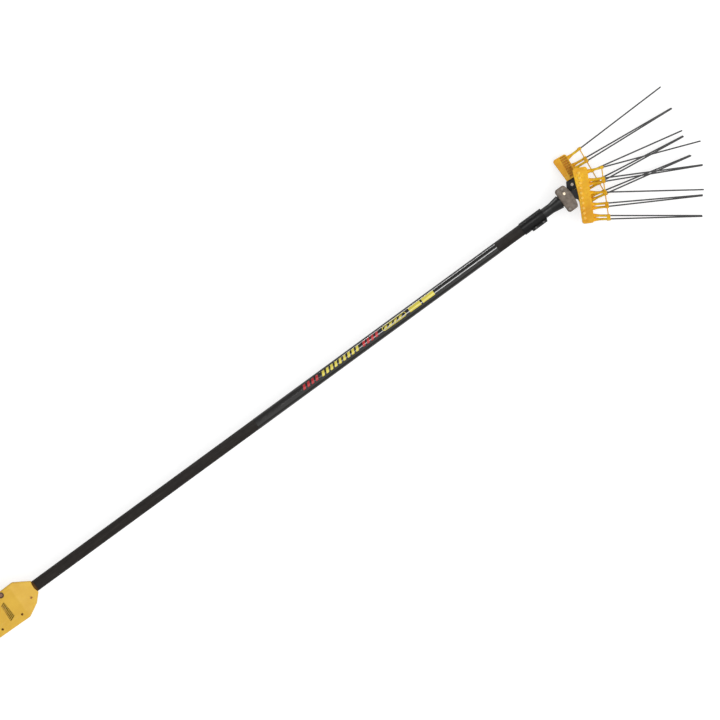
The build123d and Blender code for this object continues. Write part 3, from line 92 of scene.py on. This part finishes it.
class Graph:
    """Builds one material's nodes."""

    def __init__(self, name):
        self.material = bpy.data.materials.new(name)
        self.material.use_nodes = True
        self.tree = self.material.node_tree
        self.shader = self.tree.nodes["Principled BSDF"]
        self.place = self.add("ShaderNodeTexCoord").outputs["Object"]

    def add(self, kind, inputs=None, **settings):
        """A node with its settings and its input values or links."""
        node = self.tree.nodes.new(kind)
        for key, value in settings.items():
            setattr(node, key, value)
        for key, value in (inputs or {}).items():
            self.feed(node.inputs[key], value)
        return node

    def feed(self, socket, value):
        """Links a socket to another, or sets its value."""
        if isinstance(value, bpy.types.NodeSocket):
            self.tree.links.new(value, socket)
        else:
            socket.default_value = value

    def along(self, axis):
        """The place along one of the object's axes."""
        return self.add("ShaderNodeSeparateXYZ", {"Vector": self.place}).outputs[axis]

    def stretched(self, stretch):
        """The object's own coordinates, squeezed along each axis."""
        if stretch is None:
            return self.place
        return self.add("ShaderNodeMapping", {"Vector": self.place, "Scale": stretch}).outputs[0]

    def noise(self, scale, detail=2.0, stretch=None):
        """Noise over the object's own coordinates."""
        inputs = {"Vector": self.stretched(stretch), "Scale": scale, "Detail": detail}
        return self.add("ShaderNodeTexNoise", inputs).outputs["Fac"]

    def cells(self, scale):
        """Distance to the nearest cell centre."""
        return self.add("ShaderNodeTexVoronoi", {"Vector": self.place, "Scale": scale}).outputs["Distance"]

    def ramp(self, value, low, high, least=0.0, most=1.0):
        """A value mapped from one range to another and held inside it."""
        inputs = {"Value": value, "From Min": low, "From Max": high, "To Min": least, "To Max": most}
        return self.add("ShaderNodeMapRange", inputs).outputs[0]

    def patches(self, scale, detail, low, high, most=1.0, stretch=None):
        """Noise in soft patches, from nought up to a share."""
        return self.ramp(self.noise(scale, detail, stretch), low, high, most=most)

    def uneven(self, value, rough, less, more, low=0.3, high=0.7):
        """A roughness that wanders with a value, from a little less to a little more."""
        return self.ramp(value, low, high, rough - less, rough + more)

    def mix(self, share, one, two):
        """Two colours mixed by a share."""
        node = self.add("ShaderNodeMix", data_type="RGBA")
        self.feed(node.inputs[MIX_SHARE], share)
        for socket, colour in zip(MIX_COLOURS, (one, two)):
            self.feed(node.inputs[socket], colour)
        return node.outputs[MIX_RESULT]

    def math(self, operation, one, two=0.0):
        """One operation on one or two values."""
        node = self.add("ShaderNodeMath", operation=operation)
        self.feed(node.inputs[0], one)
        self.feed(node.inputs[1], two)
        return node.outputs[0]

    def plus_share(self, one, two, share):
        """One value plus a share of another."""
        return self.math("ADD", one, self.math("MULTIPLY", two, share))

    def soft_edges(self, radius):
        """Edges rounded in shading by a radius."""
        return self.add("ShaderNodeBevel", {"Radius": radius}, samples=EDGE_SAMPLES).outputs[0]

    def edge_rub(self, rounded, scale=140.0):
        """How far an edge is rubbed, broken up by noise."""
        plain = self.add("ShaderNodeNewGeometry").outputs["Normal"]
        dot = self.add("ShaderNodeVectorMath", {0: rounded, 1: plain}, operation="DOT_PRODUCT")
        turn = self.ramp(dot.outputs["Value"], low=0.99, high=0.80)
        return self.math("MULTIPLY", turn, self.patches(scale, detail=4.0, low=0.40, high=0.62))

    def hollows(self, reach, most):
        """How deep a point lies in a hollow of its own piece."""
        inputs = {"Distance": reach}
        node = self.add("ShaderNodeAmbientOcclusion", inputs, samples=HOLLOW_SAMPLES, only_local=True)
        return self.ramp(node.outputs["AO"], low=0.92, high=0.35, most=most)

    def bump(self, height, strength, distance, normal=None):
        """Surface relief from a height."""
        inputs = {"Height": height, "Strength": strength, "Distance": distance}
        if normal:
            inputs["Normal"] = normal
        return self.add("ShaderNodeBump", inputs).outputs[0]

    def finish(self, **inputs):
        """Feeds the shader's sockets."""
        for key, value in inputs.items():
            self.feed(self.shader.inputs[key.replace("_", " ")], value)
        return self.material


def rgb(red, green, blue):
    """A colour from display values of 0 to 255."""
    def linear(value):
        value = value / 255
        return value / 12.92 if value <= 0.04045 else ((value + 0.055) / 1.055) ** 2.4
    return (linear(red), linear(green), linear(blue), 1.0)


DUST = rgb(170, 168, 164)
# Painted shade for the hollows of castings.
CAST_HOLLOW_SHADE = rgb(58, 48, 40)


def moulded(name, colour, dark, rubbed, painted_hollow_tone, rough, specular=0.35, relief=0.22, grain=1500.0,
            mottle=0.3, knob_highlight=0.0, glow=0.0):
    """Moulded plastic: cloudy and mottled colour, specks, scuffs, rubbed edges and a fine grain, and a
    painted tone in its hollows.
    Where it has raised knob tops, they are rubbed pale by a share, partly wear and partly a painted
    highlight. Where it glows, light spreads inside it."""
    g = Graph(name)
    rounded = g.soft_edges(radius=0.0006)
    tone = g.mix(g.patches(scale=17.0, detail=4.0, low=0.32, high=0.68), dark, colour)
    tone = g.mix(g.patches(scale=120.0, detail=3.0, low=0.46, high=0.66, most=mottle), tone, dark)
    tone = g.mix(g.patches(scale=380.0, detail=2.0, low=0.60, high=0.74, most=0.35), tone, dark)
    scuffs = g.patches(scale=11.0, detail=6.0, low=0.60, high=0.70, most=0.22, stretch=(0.7, 5.0, 5.0))
    tone = g.mix(scuffs, tone, rubbed)
    # Hollows take a painted tone by ambient occlusion: painted shade where it is darker than the body, as on
    # black plastic, and painted light where it is paler, lifting the shade in the yellow pockets and
    # counterbores.
    tone = g.mix(g.hollows(reach=0.007, most=0.75), tone, painted_hollow_tone)
    tone = g.mix(g.edge_rub(rounded), tone, rubbed)
    # Knob tops rubbed pale by height: partly wear, partly a painted highlight.
    if knob_highlight:
        rise = g.math("ABSOLUTE", g.math("SUBTRACT", g.along("Z"), AXIS_Z))
        tone = g.mix(g.ramp(rise, KNOB_FOOT, KNOB_TOP, most=knob_highlight), tone, rubbed)
    blotch = g.uneven(g.noise(scale=60.0, detail=3.0), rough, less=0.07, more=0.07)
    height = g.plus_share(g.noise(grain), g.cells(grain * PEBBLE_SCALE), PEBBLE_SHARE)
    return g.finish(Base_Color=tone, Roughness=g.math("ADD", blotch, scuffs), Specular_IOR_Level=specular,
                    Subsurface_Weight=glow, Subsurface_Radius=GLOW_SPREAD, Subsurface_Scale=GLOW_REACH,
                    Normal=g.bump(height, relief, distance=0.0004, normal=rounded))


def coated(name, colour, dark, rubbed, rough, specular, streak=(0.05, 1.0, 1.0), mouth_shade=None):
    """Coated metal: soft tone changes, fine lengthwise streaks, hairline scratches and thin bare edges.
    Up to the housing's mouth it takes a brown painted shade."""
    g = Graph(name)
    rounded = g.soft_edges(radius=0.0004)
    tone = g.mix(g.patches(scale=24.0, detail=4.0, low=0.35, high=0.65), dark, colour)
    lines = g.noise(scale=260.0, detail=3.0, stretch=streak)
    tone = g.mix(g.ramp(lines, low=0.52, high=0.72, most=0.30), tone, rubbed)
    scratches = g.patches(scale=120.0, detail=5.0, low=0.69, high=0.74, most=0.5, stretch=(0.10, 1.0, 0.6))
    tone = g.mix(scratches, tone, rubbed)
    tone = g.mix(g.edge_rub(rounded, scale=260.0), tone, rubbed)
    # Painted shade, tinted brown, on the pole where it meets the housing's mouth.
    if mouth_shade:
        tone = g.mix(g.ramp(g.along("X"), MOUTH_X + MOUTH_SHADE_REACH, MOUTH_X), tone, mouth_shade)
    blotch = g.uneven(g.noise(scale=70.0, detail=3.0), rough, less=0.06, more=0.06)
    height = g.plus_share(g.noise(scale=1400.0, detail=3.0), lines, LINE_SHARE)
    return g.finish(Base_Color=tone, Roughness=blotch, Specular_IOR_Level=specular,
                    Normal=g.bump(height, strength=0.16, distance=0.0003, normal=rounded))


def glossy_film(name, colour, dark, rough):
    """Shrunk plastic film: deep gloss, faint waves where it was drawn tight, and dust."""
    g = Graph(name)
    clouds = g.patches(scale=30.0, detail=3.0, low=0.35, high=0.65, stretch=(0.3, 1.0, 1.0))
    tone = g.mix(clouds, dark, colour)
    tone = g.mix(g.patches(scale=900.0, detail=2.0, low=0.70, high=0.76, most=0.05), tone, DUST)
    waves = g.noise(scale=34.0, detail=2.0, stretch=(0.12, 1.0, 1.0))
    blotch = g.uneven(g.noise(scale=55.0, detail=4.0), rough, less=0.0, more=0.08, low=0.35, high=0.70)
    rounded = g.soft_edges(radius=0.0002)
    return g.finish(Base_Color=tone, Roughness=blotch, Specular_IOR_Level=0.25,
                    Normal=g.bump(waves, strength=0.05, distance=0.0010, normal=rounded))


def cast(name, colour, dark, light, rough, metallic):
    """Blasted casting: mottled tone, pitted grain, painted shade in hollows and bright rubbed edges."""
    g = Graph(name)
    rounded = g.soft_edges(radius=0.0008)
    tone = g.mix(g.patches(scale=70.0, detail=5.0, low=0.34, high=0.66), dark, colour)
    tone = g.mix(g.patches(scale=640.0, detail=2.0, low=0.56, high=0.72, most=0.55), tone, dark)
    # Painted shade: darker in hollows, by ambient occlusion.
    tone = g.mix(g.hollows(reach=0.006, most=0.7), tone, CAST_HOLLOW_SHADE)
    tone = g.mix(g.edge_rub(rounded), tone, light)
    pits = g.plus_share(g.noise(scale=1100.0, detail=3.0), g.cells(scale=700.0), PIT_SHARE)
    blotch = g.uneven(g.noise(scale=160.0, detail=3.0), rough, less=0.08, more=0.08)
    return g.finish(Base_Color=tone, Roughness=blotch, Metallic=metallic, Specular_IOR_Level=0.35,
                    Normal=g.bump(pits, strength=0.45, distance=0.0004, normal=rounded))


def metal(name, colour, dark, rough, grain=1600.0, relief=0.15, metallic=1.0, stretch=None):
    """Machined or rolled metal with a fine surface grain, stains and painted shade in its hollows."""
    g = Graph(name)
    tone = g.mix(g.patches(scale=90.0, detail=4.0, low=0.35, high=0.65), dark, colour)
    # Painted shade: darker in hollows, by ambient occlusion.
    tone = g.mix(g.hollows(reach=0.003, most=0.6), tone, dark)
    fine = g.noise(grain, detail=3.0, stretch=stretch)
    blotch = g.uneven(fine, rough, less=0.07, more=0.07)
    rounded = g.soft_edges(radius=0.0003)
    return g.finish(Base_Color=tone, Roughness=blotch, Metallic=metallic,
                    Normal=g.bump(fine, relief, distance=0.0003, normal=rounded))


def carbon(name, colour, dark, light, rough):
    """Drawn carbon rod: fibre streaks along its length under a thin clear resin."""
    g = Graph(name)
    fibres = g.noise(scale=900.0, detail=4.0, stretch=(0.03, 1.0, 1.0))
    tone = g.mix(g.ramp(fibres, low=0.35, high=0.65), dark, colour)
    tone = g.mix(g.patches(scale=40.0, detail=4.0, low=0.58, high=0.75, most=0.4), tone, light)
    blotch = g.uneven(g.noise(scale=200.0, detail=3.0), rough, less=0.06, more=0.08)
    return g.finish(Base_Color=tone, Roughness=blotch, Specular_IOR_Level=0.4,
                    Normal=g.bump(fibres, strength=0.2, distance=0.0002))


BLACK_RUB = rgb(46, 44, 43)
# Painted shade for the hollows of black plastic.
BLACK_HOLLOW_SHADE = rgb(14, 12, 11)
YELLOW_ZINC = metal("yellow_zinc", rgb(214, 168, 78), rgb(188, 142, 58), rough=0.5,
                    grain=900.0, relief=0.1, metallic=0.2)
BOLT_STEEL = metal("bolt_steel", rgb(160, 150, 138), rgb(128, 118, 108), rough=0.46, metallic=0.5)
SLOT_MATERIALS = {
    "housing_yellow": moulded("housing_yellow", rgb(230, 187, 70), rgb(219, 173, 60), rgb(240, 208, 120),
                              rgb(230, 182, 72), rough=0.46, specular=0.20),
    "comb_yellow": moulded("comb_yellow", rgb(250, 202, 40), rgb(220, 156, 18), rgb(252, 212, 112),
                           rgb(250, 190, 46), rough=0.42, specular=0.12, relief=0.15, grain=1200.0,
                           mottle=0.6, knob_highlight=0.6, glow=0.5),
    "pole_black": coated("pole_black", rgb(27, 22, 18), rgb(20, 16, 13), rgb(54, 49, 44),
                         rough=0.62, specular=0.16, mouth_shade=rgb(88, 56, 4)),
    "sleeve_black": glossy_film("sleeve_black", rgb(15, 13, 10), rgb(10, 8, 6), rough=0.13),
    "collar_black": moulded("collar_black", rgb(12, 12, 12), rgb(8, 8, 8), BLACK_RUB, BLACK_HOLLOW_SHADE,
                            rough=0.34, specular=0.10),
    "adapter_black": coated("adapter_black", rgb(20, 20, 20), rgb(14, 14, 14), rgb(60, 60, 60),
                            rough=0.36, specular=0.17),
    "cast_aluminium": cast("cast_aluminium", rgb(116, 104, 92), rgb(80, 70, 60), rgb(172, 164, 154),
                           rough=0.58, metallic=0.15),
    "lever_black": coated("lever_black", rgb(14, 14, 18), rgb(9, 9, 12), rgb(50, 50, 56),
                          rough=0.42, specular=0.12, streak=None),
    "steel": metal("steel", rgb(178, 178, 176), rgb(138, 138, 138), rough=0.34),
    "bronze": metal("bronze", rgb(186, 140, 84), rgb(150, 108, 62), rough=0.42, relief=0.2),
    "tine_carbon": carbon("tine_carbon", rgb(58, 57, 57), rgb(40, 40, 40), rgb(90, 90, 90), rough=0.42),
    "button_brown": moulded("button_brown", rgb(150, 112, 92), rgb(132, 94, 74), rgb(196, 170, 156),
                            rgb(70, 44, 28), rough=0.38, relief=0.12, grain=1400.0),
    "black_plastic": moulded("black_plastic", rgb(34, 30, 27), rgb(26, 23, 20), BLACK_RUB, BLACK_HOLLOW_SHADE,
                             rough=0.45, specular=0.3),
    "copper": metal("copper", rgb(190, 104, 62), rgb(150, 78, 44), rough=0.32, grain=1200.0,
                    relief=0.4, stretch=(1.0, 0.1, 0.1)),
    "lamination": metal("lamination", rgb(128, 128, 132), rgb(98, 98, 102), rough=0.45, grain=2200.0,
                        relief=0.4, metallic=0.8, stretch=(1.0, 0.05, 0.05)),
    "magnet": metal("magnet", rgb(82, 82, 86), rgb(66, 66, 70), rough=0.4, grain=900.0, metallic=0.6),
    "motor_steel": YELLOW_ZINC,
    "board_green": moulded("board_green", rgb(44, 98, 66), rgb(36, 84, 56), rgb(80, 130, 96),
                           rgb(20, 48, 32), rough=0.35, relief=0.1, grain=600.0),
    "aluminium": metal("aluminium", rgb(196, 197, 199), rgb(168, 169, 171), rough=0.34,
                       grain=1500.0, relief=0.2),
}
NODE_MATERIALS = {
    "motor_front_bell": YELLOW_ZINC,
    "motor_screws": YELLOW_ZINC,
    "motor_coupling": YELLOW_ZINC,
    "front_comb_bolts": BOLT_STEEL,
    "rear_comb_bolts": BOLT_STEEL,
    # Screw heads painted paler than their own colour: painted light against the shade of their deep
    # counterbores.
    "housing_screws": metal("screws_painted_light", rgb(246, 204, 132), rgb(226, 180, 108), rough=0.5, metallic=0.0),
    "gearbox_screws": metal("grey_screws", rgb(112, 104, 96), rgb(84, 77, 70), rough=0.45, metallic=0.5),
    "grease_plug": metal("plug_steel", rgb(206, 190, 168), rgb(176, 160, 140), rough=0.42, metallic=0.6),
    "collar_screws": metal("black_screws", rgb(44, 42, 41), rgb(30, 29, 28), rough=0.4, metallic=0.3),
    "switch_bezel": moulded("bezel_brown", rgb(84, 56, 32), rgb(66, 42, 24), rgb(150, 116, 84),
                            rgb(34, 22, 12), rough=0.42),
}


def dress_nodes():
    """Every CAD node takes its own material or its slot's."""
    for part in frame["record"]["subparts"]:
        node = frame["nodes"][part["node"]]
        material = NODE_MATERIALS.get(part["node"]) or SLOT_MATERIALS[part["material_slot"]]
        node.data.materials.clear()
        node.data.materials.append(material)


# Plain coloured bars printed on the pole's film
PRINT_RISE = 0.00012
PRINT_SINK = 0.00010
PRINT_MIDDLE = 0.0050
PRINT_HALF = 0.0078
PRINT_SLANT = 0.0070
PRINT_ROUGH = 0.24
RED_BARS = ((1.122, 1.184, 4), (1.343, 1.406, 4))
YELLOW_BARS = ((1.192, 1.334, 9),)
LOZENGE = (1.416, 1.503)
LOZENGE_LINE = 0.0022
LOZENGE_BARS = 4
BLOCKS = ((1.515, 1.557), (1.563, 1.607))
BAR_SHARE = 0.56
ARC_STEPS = 8


def film_point(x, arc, rise):
    """A point on the film, by its distance round the pole from the top."""
    angle = arc / FILM_RADIUS
    radius = FILM_RADIUS + rise
    return Vector((x, radius * math.sin(angle), AXIS_Z + radius * math.cos(angle)))


def add_patch(bm, loops):
    """A thin closed patch on the film between an outer and an inner loop of the same count."""
    rings = [[[bm.verts.new(film_point(x, arc, rise)) for x, arc in loop] for loop in loops]
             for rise in (PRINT_RISE, -PRINT_SINK)]
    top, bottom = rings
    count = len(loops[0])
    for i in range(count):
        j = (i + 1) % count
        for ring, turn in ((top, 1), (bottom, -1)):
            bm.faces.new([ring[0][i], ring[0][j], ring[1][j], ring[1][i]][::turn])
        for side, turn in ((0, -1), (1, 1)):
            bm.faces.new([top[side][i], top[side][j], bottom[side][j], bottom[side][i]][::turn])


def add_bar(bm, x0, x1, half=PRINT_HALF, slant=0.0):
    """A bar on the film, straight or slanted, as a grid across the arc."""
    section = ((x0, PRINT_RISE), (x1, PRINT_RISE), (x1, -PRINT_SINK), (x0, -PRINT_SINK))
    rows = []
    for step in range(ARC_STEPS + 1):
        share = step / ARC_STEPS * 2 - 1
        lean = share * slant / 2
        arc = PRINT_MIDDLE + share * half
        rows.append([bm.verts.new(film_point(x + lean, arc, rise)) for x, rise in section])
    for low, high in zip(rows, rows[1:]):
        for i in range(len(section)):
            j = (i + 1) % len(section)
            bm.faces.new([low[i], low[j], high[j], high[i]])
    bm.faces.new(rows[0][::-1])
    bm.faces.new(rows[-1])


def bar_row(bm, x0, x1, count, half=PRINT_HALF):
    """A row of slanted bars between two places."""
    pitch = (x1 - x0) / count
    for i in range(count):
        start = x0 + i * pitch
        add_bar(bm, start, start + pitch * BAR_SHARE, half, PRINT_SLANT)


def lozenge_loop(x0, x1, half):
    """A rounded lozenge on the film."""
    points = []
    for centre, first in ((x1 - half, -90), (x0 + half, 90)):
        for step in range(ARC_STEPS + 1):
            angle = math.radians(first + 180 * step / ARC_STEPS)
            points.append((centre + half * math.cos(angle), PRINT_MIDDLE + half * math.sin(angle)))
    return points


def add_print(name, colour, dark, fill):
    """One colour of the print as a single piece on the pole."""
    bm = bmesh.new()
    fill(bm)
    bmesh.ops.recalc_face_normals(bm, faces=bm.faces)
    mesh = bpy.data.meshes.new(name)
    bm.to_mesh(mesh)
    bm.free()
    mesh.materials.append(glossy_film(name, colour, dark, PRINT_ROUGH))
    piece = bpy.data.objects.new(name, mesh)
    scene.collection.objects.link(piece)
    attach(piece, "frame")


def red_print(bm):
    """Two rows of red bars."""
    for x0, x1, count in RED_BARS:
        bar_row(bm, x0, x1, count)


def yellow_print(bm):
    """A row of yellow bars, a lozenge with bars in it, and two plain blocks."""
    for x0, x1, count in YELLOW_BARS:
        bar_row(bm, x0, x1, count)
    x0, x1 = LOZENGE
    inset = PRINT_HALF - LOZENGE_LINE
    outer = lozenge_loop(x0, x1, PRINT_HALF)
    inner = lozenge_loop(x0 + LOZENGE_LINE, x1 - LOZENGE_LINE, inset)
    add_patch(bm, (outer, inner))
    bar_row(bm, x0 + PRINT_HALF, x1 - PRINT_HALF, LOZENGE_BARS, half=inset - LOZENGE_LINE)
    for x0, x1 in BLOCKS:
        add_bar(bm, x0, x1)


# Stage
FLOOR_HALF = 200.0
FLOOR_DROP = 0.0004
FLOOR_COLOUR = 0.45
FLOOR_GLOW = 0.70
WORLD_LIGHT = 0.5
WHITE = (1.0, 1.0, 1.0, 1.0)


def seen_rays(tree):
    """One where a camera, glossy or transmission ray looks, else nought."""
    rays = tree.nodes.new("ShaderNodeLightPath").outputs
    most = rays["Is Camera Ray"]
    for name in ("Is Glossy Ray", "Is Transmission Ray"):
        pick = tree.nodes.new("ShaderNodeMath")
        pick.operation = "MAXIMUM"
        tree.links.new(most, pick.inputs[0])
        tree.links.new(rays[name], pick.inputs[1])
        most = pick.outputs[0]
    return most


def add_floor():
    """A plain pale floor that keeps the object's shadow and looks white."""
    half = FLOOR_HALF
    corners = [(-half, -half, 0), (half, -half, 0), (half, half, 0), (-half, half, 0)]
    mesh = bpy.data.meshes.new("floor")
    mesh.from_pydata(corners, [], [(0, 1, 2, 3)])
    floor = bpy.data.objects.new("floor", mesh)
    floor.location = (0, 0, -FLOOR_DROP)
    scene.collection.objects.link(floor)
    g = Graph("floor")
    glow = g.math("MULTIPLY", seen_rays(g.tree), FLOOR_GLOW)
    g.finish(Base_Color=(FLOOR_COLOUR, FLOOR_COLOUR, FLOOR_COLOUR, 1.0), Roughness=1.0,
             Specular_IOR_Level=0.0, Emission_Color=WHITE, Emission_Strength=glow)
    mesh.materials.append(g.material)


def add_world():
    """White where it is looked at, and a softer light elsewhere."""
    world = bpy.data.worlds.new("studio")
    scene.world = world
    world.use_nodes = True
    tree = world.node_tree
    back = tree.nodes["Background"]
    back.inputs["Color"].default_value = WHITE
    strength = tree.nodes.new("ShaderNodeMapRange")
    strength.inputs["To Min"].default_value = WORLD_LIGHT
    strength.inputs["To Max"].default_value = 1.0
    tree.links.new(seen_rays(tree), strength.inputs["Value"])
    tree.links.new(strength.outputs[0], back.inputs["Strength"])


def add_lamp(name, data, heading, place=(0, 0, 0)):
    """A lamp that shines along a heading."""
    lamp = bpy.data.objects.new(name, data)
    lamp.location = place
    lamp.rotation_euler = Vector(heading).to_track_quat("-Z", "Y").to_euler()
    lamp.visible_camera = False
    scene.collection.objects.link(lamp)
    return lamp


def add_sun(name, heading, strength, spread):
    """A wide soft light, even all along the tool."""
    data = bpy.data.lights.new(name, "SUN")
    data.energy = strength
    data.angle = math.radians(spread)
    add_lamp(name, data, heading)


def add_strip(name, place, length, width, watts):
    """A long strip light that shows only as a line in glossy surfaces."""
    data = bpy.data.lights.new(name, "AREA")
    data.shape = "RECTANGLE"
    data.size = length
    data.size_y = width
    data.energy = watts
    aim = Vector((place[0], 0, AXIS_Z))
    lamp = add_lamp(name, data, aim - Vector(place), place)
    lamp.visible_diffuse = False


dress_nodes()
add_print("film_bars_red", colour=rgb(196, 34, 40), dark=rgb(170, 26, 34), fill=red_print)
add_print("film_bars_yellow", colour=rgb(232, 218, 86), dark=rgb(214, 198, 70), fill=yellow_print)
add_camera()
add_floor()
add_world()
add_sun("key", heading=(-0.40, 0.72, -1.0), strength=1.5, spread=65.0)
add_sun("fill", heading=(-0.5, -0.6, -1.0), strength=0.4, spread=65.0)
add_strip("overhead_strip", place=(1.71, 0.64, 3.04), length=0.86, width=0.45, watts=50.0)
add_strip("side_strip", place=(1.58, 2.0, 0.15), length=0.60, width=0.20, watts=22.0)
